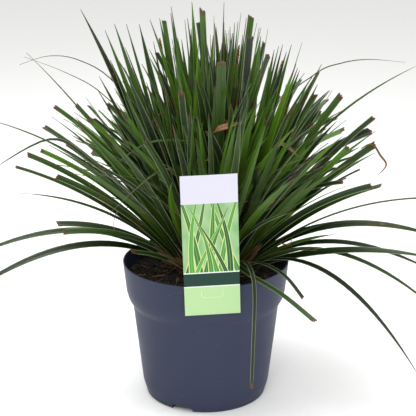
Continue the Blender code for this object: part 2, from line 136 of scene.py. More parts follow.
sky = bpy.data.worlds.new("studio")
sky.use_nodes = True
sky.node_tree.nodes["Background"].inputs["Color"].default_value = (1, 1, 0.98, 1)
sky.node_tree.nodes["Background"].inputs["Strength"].default_value = 0.80
bpy.context.scene.world = sky


def soft_light(name, place, size, power, colour):
    lamp = bpy.data.lights.new(name, "AREA")
    lamp.shape = "DISK"
    lamp.size = size
    lamp.energy = power
    lamp.color = colour
    made = link(bpy.data.objects.new(name, lamp))
    made.location = place
    made.rotation_euler = (Vector((0, 0, 0.20)) - Vector(place)).to_track_quat("-Z", "Y").to_euler()


soft_light("top_light", (-0.35, 0.10, 1.75), 0.9, 24, (0.97, 0.99, 1))
soft_light("front_light", (-0.20, -1.70, 1.30), 1.0, 15, (1, 0.99, 0.97))
soft_light("side_light", (1.50, -0.20, 0.70), 0.7, 6, (0.96, 0.98, 1))

bm = bmesh.new()
bmesh.ops.create_grid(bm, x_segments=1, y_segments=1, size=4)
floor_mesh = bpy.data.meshes.new("floor")
bm.to_mesh(floor_mesh)
bm.free()
floor = link(bpy.data.objects.new("floor", floor_mesh))
floor_finish, tree, shader, place = new_finish("studio floor", 0.9)
shade = ranged(tree, cloudy(tree, place, 40.0), 0.0, 1.0, 0.93, 0.96)
tree.links.new(shade, shader.inputs["Base Color"])
floor.data.materials.append(floor_finish)

# Pot
# A 3 litre nursery pot of blue-grey polypropylene, moulded in one piece: a tapered wall, a wide collar
# above a rounded step, and a foot ring with three notches that let water out from under the base.

RIM_RADIUS = 0.095
POT_HEIGHT = 0.161
COLLAR_LOW_RADIUS = 0.0915
COLLAR_LOW = 0.127
WALL_TOP_RADIUS = 0.0842
WALL_TOP = 0.109
WALL_LOW_RADIUS = 0.0736
WALL_LOW = 0.016
WALL_THICKNESS = 0.0016
FOOT_RADIUS = 0.0700
FOOT_INNER_RADIUS = 0.0600
FOOT_HEIGHT = 0.006
FOOT_NOTCH_WIDTH = 0.025
FOOT_NOTCH_BEARINGS = (-113, 7, 127)
BASE_TOP = 0.0078
CENTRE_PAD_RADIUS = 0.018
DRAIN_HOLE_RADIUS = 0.0045
DRAIN_HOLE_CIRCLE = 0.044
DRAIN_HOLES = 8


def inner_wall():
    """The pot's inside from its floor to its mouth, as (radius, height)."""
    return (
        (WALL_LOW_RADIUS - 0.0046, BASE_TOP),
        (WALL_LOW_RADIUS - WALL_THICKNESS, WALL_LOW - 0.002),
        (WALL_TOP_RADIUS - WALL_THICKNESS, WALL_TOP),
        (COLLAR_LOW_RADIUS - WALL_THICKNESS, COLLAR_LOW - 0.002),
        (RIM_RADIUS - WALL_THICKNESS, POT_HEIGHT),
    )


def inner_radius(height):
    """The radius of the pot's inside at a height."""
    for (r0, z0), (r1, z1) in zip(inner_wall(), inner_wall()[1:]):
        if height <= z1:
            return r0 + (r1 - r0) * (height - z0) / (z1 - z0)
    return RIM_RADIUS - WALL_THICKNESS


def rounded(profile, radius, steps=4):
    """Rounds an outline's corners by up to a radius, each with a short arc."""
    smooth = [profile[0]]
    for before, corner, after in zip(profile, profile[1:], profile[2:]):
        before, corner, after = Vector(before), Vector(corner), Vector(after)
        reach = min(radius, (before - corner).length * 0.45, (after - corner).length * 0.45)
        start = corner + (before - corner).normalized() * reach
        end = corner + (after - corner).normalized() * reach
        for index in range(steps + 1):
            share = index / steps
            point = start * (1 - share) ** 2 + corner * (2 * share * (1 - share)) + end * share**2
            smooth.append(tuple(point))
    smooth.append(profile[-1])
    return smooth


def turned(profile, steps):
    """A bmesh made by spinning an outline of (radius, height) points round the axis."""
    bm = bmesh.new()
    points = [bm.verts.new((radius, 0, height)) for radius, height in profile]
    edges = [bm.edges.new(pair) for pair in zip(points, points[1:])]
    bmesh.ops.spin(
        bm,
        geom=points + edges,
        cent=(0, 0, 0),
        axis=(0, 0, 1),
        angle=2 * math.pi,
        steps=steps,
        use_merge=True,
    )
    bmesh.ops.remove_doubles(bm, verts=bm.verts, dist=0.00001)
    bmesh.ops.dissolve_degenerate(bm, edges=bm.edges, dist=0.00001)
    bmesh.ops.recalc_face_normals(bm, faces=bm.faces)
    return bm


def finished(bm, name, finish, sharp=35):
    """Makes a bmesh a piece of the plant, shaded smooth, that rides on the frame."""
    mesh = bpy.data.meshes.new(name)
    bm.to_mesh(mesh)
    bm.free()
    made = link(bpy.data.objects.new(name, mesh))
    mesh.materials.append(finish)
    mesh.shade_smooth()
    mesh.set_sharp_from_angle(angle=math.radians(sharp))
    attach(made, "root")
    return made


def cut(thing, bm):
    """Cuts a closed shape out of an object."""
    mesh = bpy.data.meshes.new("cutter")
    bm.to_mesh(mesh)
    bm.free()
    cutter = link(bpy.data.objects.new("cutter", mesh))
    boolean = thing.modifiers.new("cut", "BOOLEAN")
    boolean.object = cutter
    bpy.context.view_layer.update()
    graph = bpy.context.evaluated_depsgraph_get()
    thing.data = bpy.data.meshes.new_from_object(thing.evaluated_get(graph))
    thing.modifiers.clear()
    bpy.data.objects.remove(cutter, do_unlink=True)


pot_plastic, tree, shader, place = new_finish("pot plastic", 0.46, 0.14)
colour = mixed(tree, cloudy(tree, place, 9.0), (0.027, 0.033, 0.062), (0.035, 0.042, 0.077))
specks = node(tree, "ShaderNodeTexVoronoi", {"Vector": place, "Scale": 95.0}).outputs["Distance"]
dust = ranged(tree, specks, 0.035, 0.055, 0.45, 0.0)
tree.links.new(mixed(tree, dust, colour, (0.20, 0.21, 0.25)), shader.inputs["Base Color"])
gloss = ranged(tree, cloudy(tree, place, 28.0, 5.0, 1.5), 0.0, 1.0, 0.36, 0.56)
tree.links.new(gloss, shader.inputs["Roughness"])
raised(tree, shader, cloudy(tree, place, 650.0), 0.25, 0.0002)

step_down = COLLAR_LOW - WALL_TOP
pot_outline = [
    (0, BASE_TOP),
    *inner_wall(),
    (RIM_RADIUS, POT_HEIGHT),
    (COLLAR_LOW_RADIUS, COLLAR_LOW),
    (COLLAR_LOW_RADIUS - 0.0022, COLLAR_LOW - 0.48 * step_down),
    (WALL_TOP_RADIUS + 0.0008, COLLAR_LOW - 0.88 * step_down),
    (WALL_TOP_RADIUS, WALL_TOP),
    (WALL_LOW_RADIUS, WALL_LOW),
    (FOOT_RADIUS + 0.0012, FOOT_HEIGHT + 0.0014),
    (FOOT_RADIUS + 0.0004, FOOT_HEIGHT),
    (FOOT_RADIUS - 0.0006, 0),
    (FOOT_INNER_RADIUS, 0),
    (FOOT_INNER_RADIUS - 0.0006, FOOT_HEIGHT),
    (CENTRE_PAD_RADIUS + 0.0010, FOOT_HEIGHT),
    (CENTRE_PAD_RADIUS, 0),
    (0, 0),
]
pot = finished(turned(rounded(pot_outline, 0.0030), 144), "nursery_pot", pot_plastic)
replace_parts(pot, "pot")

for bearing in FOOT_NOTCH_BEARINGS:
    bm = bmesh.new()
    bmesh.ops.create_cube(bm, size=1)
    bmesh.ops.scale(bm, vec=(0.040, FOOT_NOTCH_WIDTH, 2 * FOOT_HEIGHT - 0.0008), verts=bm.verts)
    along = [edge for edge in bm.edges if abs(edge.verts[0].co.x - edge.verts[1].co.x) > 0.01]
    bmesh.ops.bevel(
        bm, geom=along, offset=0.0016, segments=3, profile=0.5, affect="EDGES", material=-1
    )
    bmesh.ops.translate(bm, vec=(FOOT_RADIUS, 0, 0), verts=bm.verts)
    turn = Matrix.Rotation(math.radians(bearing), 3, "Z")
    bmesh.ops.rotate(bm, cent=(0, 0, 0), matrix=turn, verts=bm.verts)
    cut(pot, bm)
for index in range(DRAIN_HOLES):
    bearing = 2 * math.pi * (index + 0.5) / DRAIN_HOLES
    bm = bmesh.new()
    bmesh.ops.create_cone(
        bm,
        cap_ends=True,
        segments=20,
        radius1=DRAIN_HOLE_RADIUS,
        radius2=DRAIN_HOLE_RADIUS,
        depth=0.010,
    )
    there = (DRAIN_HOLE_CIRCLE * math.cos(bearing), DRAIN_HOLE_CIRCLE * math.sin(bearing), 0.007)
    bmesh.ops.translate(bm, vec=there, verts=bm.verts)
    cut(pot, bm)
pot.data.set_sharp_from_angle(angle=math.radians(35))

# Soil
# Moist black peat with the root ball in it, filled to 15 mm under the rim and sunk a little at the edge.
# Crumbs and small chips of bark lie on it, and moss has started to grow.

SOIL_TOP = 0.146
SOIL_GAP = 0.0004
SOIL_REACH = inner_radius(SOIL_TOP) - SOIL_GAP
CRUMBS = 1500
SCATTER_SEED = 7

soil_finish, tree, shader, place = new_finish("potting soil", 0.95, 0.25)
lumps = cloudy(tree, place, 260.0, 6.0)
peat = mixed(tree, ranged(tree, lumps, 0.40, 0.72), (0.004, 0.003, 0.002), (0.040, 0.027, 0.017))
mossy = ranged(tree, cloudy(tree, place, 38.0, 4.0), 0.55, 0.68, 0.0, 0.6)
tree.links.new(mixed(tree, mossy, peat, (0.012, 0.018, 0.006)), shader.inputs["Base Color"])
raised(tree, shader, lumps, 0.8, 0.001)

sides = [(radius - SOIL_GAP, height + SOIL_GAP) for radius, height in inner_wall()[:4]]
rings = [(SOIL_REACH * (1 - index / 44), SOIL_TOP - 0.0016) for index in range(45)]
bm = turned([(0, BASE_TOP + SOIL_GAP), *sides, *rings], 132)
for vert in bm.verts:
    if vert.co.z > SOIL_TOP - 0.002:
        inward = min((SOIL_REACH - math.hypot(vert.co.x, vert.co.y)) / 0.006, 1)
        coarse = noise.noise(vert.co * 70)
        fine = noise.fractal(vert.co * 420, 0.8, 2.0, 3)
        vert.co.z += (0.0018 * coarse + 0.0012 * fine) * inward - 0.0022 * (1 - inward)
soil = finished(bm, "peat", soil_finish, 80)
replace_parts(soil, "soil")

scatter = random.Random(SCATTER_SEED)
# Vector noise starts from the clock unless it is seeded, and the crumbs have to be the same each time.
noise.seed_set(SCATTER_SEED)
bm = bmesh.new()
for index in range(CRUMBS):
    out = (SOIL_REACH - 0.002) * math.sqrt(scatter.random())
    bearing = scatter.uniform(0, 2 * math.pi)
    size = 0.0006 + 0.0016 * scatter.random() ** 3
    there = Vector((out * math.cos(bearing), out * math.sin(bearing), SOIL_TOP - 0.0006))
    shape = Matrix.Diagonal((size * scatter.uniform(1, 2.2), size, size * 0.7, 1))
    turn = Matrix.Rotation(scatter.uniform(0, 6.3), 4, "Z") @ Matrix.Rotation(
        scatter.uniform(-0.6, 0.6), 4, "X"
    )
    bmesh.ops.create_icosphere(
        bm, subdivisions=1, radius=1, matrix=Matrix.Translation(there) @ turn @ shape
    )
for vert in bm.verts:
    vert.co += 0.0003 * noise.noise_vector(vert.co * 900)
finished(bm, "soil_crumbs", soil_finish, 60)

# Plant label
# A plastic card, 60 by 160 mm, with a printed front. A tongue behind it folds over the rim and holds
# it there, leaning out a little. The printed fields are bare but for a bunch of striped leaves.

LABEL_WIDTH = 0.060
LABEL_HEIGHT = 0.160
LABEL_THICKNESS = 0.0007
LABEL_BELOW_RIM = 0.031
LABEL_LEAN = math.radians(4)
LABEL_ROLL = math.radians(-2)
LABEL_BEARING = math.radians(4)
LABEL_GAP = 0.0004
TONGUE_WIDTH = 0.020
TONGUE_ABOVE_RIM = 0.022
TONGUE_BELOW_RIM = 0.011
# The space round the label that the blades keep out of.
LABEL_ZONE_MIDDLE = 0.005
LABEL_ZONE_SIDE = 0.033
LABEL_ZONE_BACK = -0.082
LABEL_ZONE_FRONT = -0.130

# Each printed leaf: its foot across the card, lean, bend, half width, how high it ends, and its tone.
# Widths are shares of the card's width, and heights are shares of the picture's.
PRINTED_LEAVES = (
    (0.08, 0.42, -0.10, 0.060, 1.30, 0.2),
    (0.98, -0.55, 0.10, 0.070, 1.25, 0.6),
    (0.30, -0.16, -0.12, 0.075, 1.40, 0.4),
    (0.66, 0.18, 0.12, 0.065, 1.35, 0.8),
    (0.50, 0.05, 0.02, 0.085, 1.10, 0.5),
    (0.16, -0.10, 0.20, 0.060, 1.20, 0.9),
    (0.84, 0.02, -0.22, 0.070, 1.15, 0.1),
    (0.40, 0.30, 0.16, 0.055, 0.95, 0.3),
    (0.60, -0.34, -0.14, 0.060, 0.98, 0.7),
    (0.24, 0.55, 0.10, 0.045, 0.80, 1.0),
    (0.76, -0.50, -0.20, 0.050, 0.78, 0.0),
    (0.50, -0.08, -0.26, 0.055, 0.66, 0.6),
)
# Where the printed fields end, from the card's foot up, as shares of its height.
PALE_FIELD_END = 0.207
DARK_FIELD_START = 0.214
DARK_FIELD_END = 0.306
PICTURE_START = 0.314
PICTURE_END = 0.803
# The cut that frees the tongue: half its straight foot, how low it goes and where it ends above, and the
# radius of its corners, as shares of the card's width and height.
SLIT_HALF = 0.135
SLIT_LOW = 0.150
SLIT_TOP = 0.178
SLIT_CORNER = 0.022

printed_leaf = bpy.data.node_groups.new("Printed leaf", "ShaderNodeTree")
for name, kind in (
    ("Under", "NodeSocketColor"),
    ("Across", "NodeSocketFloat"),
    ("Height", "NodeSocketFloat"),
    ("Foot", "NodeSocketFloat"),
    ("Lean", "NodeSocketFloat"),
    ("Bend", "NodeSocketFloat"),
    ("Half width", "NodeSocketFloat"),
    ("Tip", "NodeSocketFloat"),
    ("Tone", "NodeSocketFloat"),
):
    printed_leaf.interface.new_socket(name, in_out="INPUT", socket_type=kind)
printed_leaf.interface.new_socket("Colour", in_out="OUTPUT", socket_type="NodeSocketColor")
tree = printed_leaf
given = node(tree, "NodeGroupInput").outputs
straight = calc(tree, "MULTIPLY_ADD", given["Lean"], given["Height"], given["Foot"])
bow = calc(tree, "MULTIPLY", calc(tree, "POWER", given["Height"], 2.0), given["Bend"])
away = calc(tree, "ABSOLUTE", calc(tree, "SUBTRACT", given["Across"], calc(tree, "ADD", straight, bow)))
left_over = calc(tree, "SUBTRACT", 1.0, calc(tree, "DIVIDE", given["Height"], given["Tip"]))
narrowing = calc(tree, "POWER", calc(tree, "MAXIMUM", left_over, 0.0), 0.6)
reach = calc(tree, "MAXIMUM", calc(tree, "MULTIPLY", narrowing, given["Half width"]), 0.0001)
out = calc(tree, "DIVIDE", away, reach)
green = mixed(tree, given["Tone"], (0.002, 0.050, 0.020), (0.080, 0.300, 0.050))
ribbed = mixed(tree, ranged(tree, out, 0.0, 0.16, 0.5, 0.0), green, (0.30, 0.52, 0.16))
edged = mixed(tree, ranged(tree, out, 0.66, 0.76), ribbed, (0.50, 0.62, 0.22))
laid = mixed(tree, ranged(tree, out, 0.96, 1.04, 1.0, 0.0), given["Under"], edged)
node(tree, "NodeGroupOutput", {"Colour": laid})

label_finish, tree, shader, place = new_finish("printed card", 0.38, 0.3)
card_flat = node(tree, "ShaderNodeUVMap").outputs["UV"]
card = node(tree, "ShaderNodeSeparateXYZ", {"Vector": card_flat}).outputs
picture_height = ranged(tree, card["Y"], PICTURE_START, PICTURE_END)
spot = node(tree, "ShaderNodeCombineXYZ", {"X": card["X"], "Y": picture_height}).outputs["Vector"]
print_colour = mixed(tree, cloudy(tree, spot, 4.0, 1.0), (0.08, 0.30, 0.05), (0.42, 0.55, 0.36))
for foot, lean, bend, half, tip, tone in PRINTED_LEAVES:
    sockets = {
        "Under": print_colour,
        "Across": card["X"],
        "Height": picture_height,
        "Foot": foot,
        "Lean": lean,
        "Bend": bend,
        "Half width": half,
        "Tip": tip,
        "Tone": tone,
    }
    leaf_node = node(tree, "ShaderNodeGroup", node_tree=printed_leaf)
    for name, value in sockets.items():
        feed(tree, leaf_node.inputs[name], value)
    print_colour = leaf_node.outputs["Colour"]
for end, colour in (
    (PICTURE_START, (0.68, 0.72, 0.68)),
    (DARK_FIELD_END, (0.001, 0.032, 0.020)),
    (DARK_FIELD_START, (0.68, 0.72, 0.68)),
    (PALE_FIELD_END, (0.385, 0.575, 0.285)),
):
    above = calc(tree, "GREATER_THAN", card["Y"], end)
    print_colour = mixed(tree, above, colour, print_colour)
head = calc(tree, "GREATER_THAN", card["Y"], PICTURE_END)
print_colour = mixed(tree, head, print_colour, (0.58, 0.57, 0.67))
# The outline of the cut that frees the tongue: a round-cornered trough, open at the top.
aside = calc(tree, "SUBTRACT", calc(tree, "ABSOLUTE", calc(tree, "SUBTRACT", card["X"], 0.50)), SLIT_HALF)
below = calc(tree, "SUBTRACT", SLIT_LOW, card["Y"])
box_x = calc(tree, "MULTIPLY", aside, LABEL_WIDTH / LABEL_HEIGHT)
corner = calc(
    tree,
    "SQRT",
    calc(
        tree,
        "ADD",
        calc(tree, "POWER", calc(tree, "MAXIMUM", box_x, 0.0), 2.0),
        calc(tree, "POWER", calc(tree, "MAXIMUM", below, 0.0), 2.0),
    ),
)
slit_and_highlight = calc(tree, "ABSOLUTE", calc(tree, "SUBTRACT", corner, SLIT_CORNER))
slit_and_highlight = ranged(tree, slit_and_highlight, 0.0016, 0.0030, 1.0, 0.0)
slit_and_highlight = calc(tree, "MULTIPLY", slit_and_highlight, calc(tree, "LESS_THAN", card["Y"], SLIT_TOP))
# The cut's line is paler than the field: a painted highlight along its edge. The cut itself is shaped by
# the bump.
print_colour = mixed(tree, calc(tree, "MULTIPLY", slit_and_highlight, 0.55), print_colour, (0.60, 0.72, 0.46))
tree.links.new(print_colour, shader.inputs["Base Color"])
fibre = cloudy(tree, place, 400.0)
tree.links.new(ranged(tree, fibre, 0.0, 1.0, 0.32, 0.44), shader.inputs["Roughness"])
raised(tree, shader, calc(tree, "ADD", slit_and_highlight, calc(tree, "MULTIPLY", fibre, 0.04)), 0.5, 0.0003)

rest = RIM_RADIUS + LABEL_GAP
inside = RIM_RADIUS - WALL_THICKNESS - 0.0030
inside -= RIM_RADIUS * (1 - math.cos(TONGUE_WIDTH / 2 / RIM_RADIUS))
bm = bmesh.new()
bm.loops.layers.uv.new("UVMap")
bmesh.ops.create_grid(bm, x_segments=12, y_segments=32, size=0.5, calc_uvs=True)
stand = Matrix.Rotation(math.pi / 2, 4, "X")
size = Matrix.Diagonal((LABEL_WIDTH, LABEL_HEIGHT, 1, 1))
bmesh.ops.transform(bm, matrix=stand @ size, verts=bm.verts)
bmesh.ops.translate(bm, vec=(0, 0, LABEL_HEIGHT / 2 - LABEL_BELOW_RIM), verts=bm.verts)
for vert in bm.verts:
    bow = 1 - (2 * vert.co.x / LABEL_WIDTH) ** 2
    vert.co.y -= 0.0006 * bow * max(vert.co.z, 0) / LABEL_HEIGHT
lean = Matrix.Rotation(LABEL_LEAN, 4, "X") @ Matrix.Rotation(LABEL_ROLL, 4, "Y")
bmesh.ops.transform(bm, matrix=Matrix.Translation((0, -rest, POT_HEIGHT)) @ lean, verts=bm.verts)
bmesh.ops.solidify(bm, geom=bm.faces[:], thickness=-LABEL_THICKNESS)

tongue_route = [
    (-rest - 0.0016, POT_HEIGHT + TONGUE_ABOVE_RIM),
    (-rest + 0.0008, POT_HEIGHT + TONGUE_ABOVE_RIM + 0.0006),
    (-inside - 0.0010, POT_HEIGHT + TONGUE_ABOVE_RIM - 0.0004),
    (-inside, POT_HEIGHT + TONGUE_ABOVE_RIM - 0.0024),
    (-inside, POT_HEIGHT - TONGUE_BELOW_RIM),
]
strip = []
for across in (-TONGUE_WIDTH / 2, TONGUE_WIDTH / 2):
    points = [bm.verts.new((across, y, z)) for y, z in rounded(tongue_route, 0.004)]
    strip += [bm.edges.new(pair) for pair in zip(points, points[1:])]
tongue = bmesh.ops.bridge_loops(bm, edges=strip)["faces"]
bmesh.ops.solidify(bm, geom=tongue, thickness=LABEL_THICKNESS)
turn = Matrix.Rotation(LABEL_BEARING, 3, "Z")
bmesh.ops.rotate(bm, cent=(0, 0, 0), matrix=turn, verts=bm.verts)
bmesh.ops.recalc_face_normals(bm, faces=bm.faces)
label = finished(bm, "plant_label", label_finish)
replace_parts(label, "label")

# Leaf blades
# The sedge's leaves are leathery straps, folded along the midrib and finely ribbed, with a pale edge.
# New ones stand up in the middle, fresh green. Old ones arch outwards, dark and bluish, and many were
# trimmed with shears, which left brown ends. Each blade stands where its solid does in the frame.

CROWN_CENTRE = Vector((0.008, 0.020, SOIL_TOP))
CROWN_RADIUS = 0.045
SOIL_HOLE_GAP = 0.0012
ROOT_DEPTH = 0.001
LAST_ROOT = 0.036
CORE_RADIUS = 0.016
CORE_SLOPE = 0.21
TUFT_GAP = 0.0005
OUTER_TUFTS = 6
TUFT_ANGLE = math.radians(360 / OUTER_TUFTS)
FRONT = math.radians(-90)
TUFT_NAMES = (
    "tuft_front",
    "tuft_front_right",
    "tuft_back_right",
    "tuft_back",
    "tuft_back_left",
    "tuft_front_left",
    "tuft_middle",
)
MIDDLE = OUTER_TUFTS
OUTER_TILLERS = 6
MIDDLE_TILLERS = 6
BLADES_PER_TILLER = 4
FOLD = 0.30
SIDE_CHORD = 0.240
SEED = 52
MM = 0.001


def bearing_of(index):
    """The direction that an outer tuft faces, from the crown's centre."""
    return FRONT + TUFT_ANGLE * index


def core_distance(index, point):
    """How far a point is outside the middle tuft's leaning face on this side."""
    bearing = bearing_of(index)
    away = point - CROWN_CENTRE
    across = away.x * math.cos(bearing) + away.y * math.sin(bearing)
    return (across - CORE_RADIUS - CORE_SLOPE * away.z) / math.hypot(1, CORE_SLOPE)


def room_in(index, point):
    """The distance from a point to the nearest border of its tuft's share of the space."""
    if index == MIDDLE:
        return min(-core_distance(side, point) for side in range(OUTER_TUFTS))
    away = point - CROWN_CENTRE
    low = bearing_of(index) - TUFT_ANGLE / 2
    high = bearing_of(index) + TUFT_ANGLE / 2
    return min(
        away.y * math.cos(low) - away.x * math.sin(low),
        away.x * math.sin(high) - away.y * math.cos(high),
        core_distance(index, point),
    )


def clear_of_holder(point, margin):
    """True if a point keeps this margin from the pot, the soil and the label."""
    from_axis = math.hypot(point.x, point.y)
    from_crown = math.hypot(point.x - CROWN_CENTRE.x, point.y - CROWN_CENTRE.y)
    if from_axis < RIM_RADIUS + margin:
        floor = SOIL_TOP if from_axis < inner_radius(SOIL_TOP) - margin else POT_HEIGHT
        if point.z < floor + margin and from_crown > CROWN_RADIUS + SOIL_HOLE_GAP - margin:
            return False
    beside = abs(point.x - LABEL_ZONE_MIDDLE) > LABEL_ZONE_SIDE + margin
    above = point.z > POT_HEIGHT - LABEL_BELOW_RIM + LABEL_HEIGHT + margin
    behind = point.y > LABEL_ZONE_BACK + margin
    return behind or beside or above or point.y < LABEL_ZONE_FRONT


def on_curve(points, share):
    """A point on a blade's midline: a quadratic curve of three points, or a smooth spline through more."""
    if len(points) == 3:
        root, shoulder, tip = points
        return (
            root * (1 - share) ** 2
            + shoulder * (2 * share * (1 - share))
            + tip * share**2
        )
    along = share * (len(points) - 1)
    index = min(int(along), len(points) - 2)
    step = along - index
    before = points[max(index - 1, 0)]
    start, end = points[index], points[index + 1]
    after = points[min(index + 2, len(points) - 1)]
    return 0.5 * (
        2 * start
        + (end - before) * step
        + (2 * before - 5 * start + 4 * end - after) * step**2
        + (3 * start - before - 3 * end + after) * step**3
    )


def half_width(blade, share):
    """Half a blade's width along its length: a narrow base, then full width, then its tip."""
    base = 0.55 + 0.45 * min(share / 0.35, 1)
    if blade["cut"]:
        return blade["width"] / 2 * base * (1 - 0.2 * share)
    taper = 1 - max((share - 0.40) / 0.60, 0) ** 2.4
    return blade["width"] / 2 * base * taper


def fits(blade):
    """True if a blade keeps to its tuft's share of the space and off the pot, soil and label."""
    samples = 16
    for index in range(samples + 1):
        share = index / samples
        point = on_curve(blade["points"], share)
        reach = half_width(blade, share) + TUFT_GAP
        if room_in(blade["tuft"], point) < reach:
            return False
        if not clear_of_holder(point, reach + 0.0012):
            return False
    return True


def arched(root, bearing, rise, chord, lift, sway):
    """A blade's root, shoulder and tip, from where it points, how long it is and how it arches."""
    launch = min(rise + lift, math.radians(87))
    tip = root + chord * Vector(
        (math.cos(rise) * math.cos(bearing), math.cos(rise) * math.sin(bearing), math.sin(rise))
    )
    aside = bearing + sway
    shoulder = root + 0.55 * chord * Vector(
        (math.cos(launch) * math.cos(aside), math.cos(launch) * math.sin(aside), math.sin(launch))
    )
    return [root, shoulder, tip]


# Blades that give the sedge its outline, seen from the front, clockwise from the left.
# Each is its tip's x, y and z in mm, its lift in degrees, its width in mm, and True where it was cut.
LEADING_BLADES = (
    (-282, -40, 166, 38, 8.0, False),
    (-272, -85, 140, 40, 9.0, False),
    (-188, -22, 196, 26, 6.0, False),
    (-168, -10, 206, 22, 8.0, True),
    (-158, -34, 204, 24, 9.0, True),
    (-206, -30, 248, 22, 3.5, False),
    (-212, -8, 272, 14, 5.5, True),
    (-160, -62, 276, 12, 8.0, True),
    (-196, -22, 290, 13, 7.0, True),
    (-178, -45, 300, 14, 9.0, True),
    (-262, 12, 330, 24, 2.6, False),
    (-172, 16, 326, 12, 3.5, False),
    (-163, -34, 346, 14, 9.5, True),
    (-196, 4, 398, 8, 2.2, False),
    (-122, -62, 338, 12, 10.0, True),
    (-137, 16, 447, 4, 12.5, False),
    (-118, 10, 372, 3, 9.0, False),
    (-104, -6, 392, 2, 10.0, False),
    (-112, 34, 418, 2, 7.5, False),
    (-98, -12, 432, 1, 10.0, False),
    (-86, 0, 430, 1, 6.0, False),
    (-76, 32, 424, 1, 10.0, False),
    (-60, -14, 437, 2, 12.0, False),
    (-38, 22, 446, 1, 6.0, False),
    (-15, 8, 453, 1, 10.5, False),
    (-4, -10, 447, 2, 11.0, True),
    (20, 4, 453, 2, 9.5, False),
    (38, -10, 443, 2, 5.0, False),
    (29, -26, 424, 2, 10.5, False),
    (59, 2, 412, 2, 12.0, False),
    (78, -26, 410, 1, 10.0, False),
    (86, 34, 402, 1, 7.5, False),
    (95, -52, 396, 2, 12.0, False),
    (100, -10, 384, 2, 9.0, False),
    (112, -30, 362, 3, 9.5, False),
    (122, 8, 352, 4, 9.0, True),
    (136, 24, 344, 5, 8.0, False),
    (106, 40, 372, 2, 10.0, False),
    (124, -4, 378, 3, 3.5, True),
    (252, 24, 384, 26, 3.2, False),
    (148, -12, 354, 6, 10.0, True),
    (184, -16, 330, 8, 8.0, True),
    (184, -34, 304, 8, 10.0, True),
    (190, -50, 262, 14, 8.0, True),
    (276, -34, 192, 34, 10.5, False),
    (264, -66, 160, 36, 8.0, False),
    (250, -86, 190, 5, 10.5, False),
    (232, -104, 62, 52, 8.0, False),
    (268, -84, 116, 46, 5.5, False),
    (138, -24, 212, 14, 7.0, False),
    (142, -40, 203, 12, 6.0, False),
    (120, -46, 190, 10, 5.5, False),
    (-110, -44, 204, 12, 8.0, False),
    (-80, -62, 190, 12, 11.0, True),
)

# Blades that hang over the rim at the front: points on their midlines, and their widths, in mm.
HANGING_BLADES = (
    (
        (
            (20, -10, 146),
            (27, -28, 164),
            (42, -64, 180),
            (50, -94, 175),
            (52, -105, 150),
            (51, -103, 100),
            (50, -98, 44),
        ),
        5.0,
    ),
    (((19, -8, 146), (30, -36, 167), (50, -84, 170), (80, -126, 165), (110, -174, 155)), 8.5),
    (((31, -4, 146), (44, -20, 162), (64, -50, 172), (86, -78, 168), (104, -100, 151)), 6.5),
)


def leading_blade(row):
    """One of the blades that give the outline, turned a little where it would cross a border."""
    x, y, z, lift, width, is_cut = row
    tip = Vector((x, y, z)) * MM
    away = tip - CROWN_CENTRE
    bearing = math.atan2(away.y, away.x)
    reach = math.hypot(away.x, away.y)
    lean = math.atan2(reach, away.z)
    from_centre = min((0.006 if lean < math.radians(16) else 0.020) + 0.015 * lean, LAST_ROOT)
    for step in range(45):
        nudge = (step // 3 + 1) // 2 * 3 * (-1) ** (step // 3)
        extra = 5 * (step % 3)
        turned_to = bearing + math.radians(nudge)
        outward = Vector((math.cos(turned_to), math.sin(turned_to), 0))
        root = CROWN_CENTRE + from_centre * outward - Vector((0, 0, ROOT_DEPTH))
        chord = CROWN_CENTRE + reach * outward + Vector((0, 0, away.z)) - root
        rise = math.atan2(chord.z, math.hypot(chord.x, chord.y))
        points = arched(root, turned_to, rise, chord.length, math.radians(lift + extra), 0)
        facing = math.cos(turned_to)
        for tuft in range(OUTER_TUFTS + 1):
            blade = {
                "tuft": tuft,
                "points": points,
                "bearing": turned_to,
                "width": width * MM,
                "roll": math.radians(12 * math.sin(x + z) + facing * (30 + 40 * math.sin(rise))),
                "twist": math.radians(20 * math.cos(x - z)),
                "cut": is_cut,
            }
            if fits(blade):
                return blade
    return None


def hanging_blade(route, width):
    """A blade that leaves its tuft low and hangs over the rim."""
    points = [Vector(point) * MM for point in route]
    away = points[-1] - points[0]
    tufts = range(OUTER_TUFTS)
    return {
        "tuft": max(tufts, key=lambda tuft: room_in(tuft, points[0])),
        "points": points,
        "bearing": math.atan2(away.y, away.x),
        "width": width * MM,
        "roll": 0,
        "twist": 0,
        "cut": True,
    }


def longest_chord(rise):
    """The sedge's size in a direction: taller upwards, trimmed at the sides, long near the ground."""
    degrees = math.degrees(rise)
    taller = 0.060 * min(max((degrees - 60) / 25, 0), 1)
    longer = 0.040 * max((20 - degrees) / 20, 0)
    return SIDE_CHORD + taller + longer


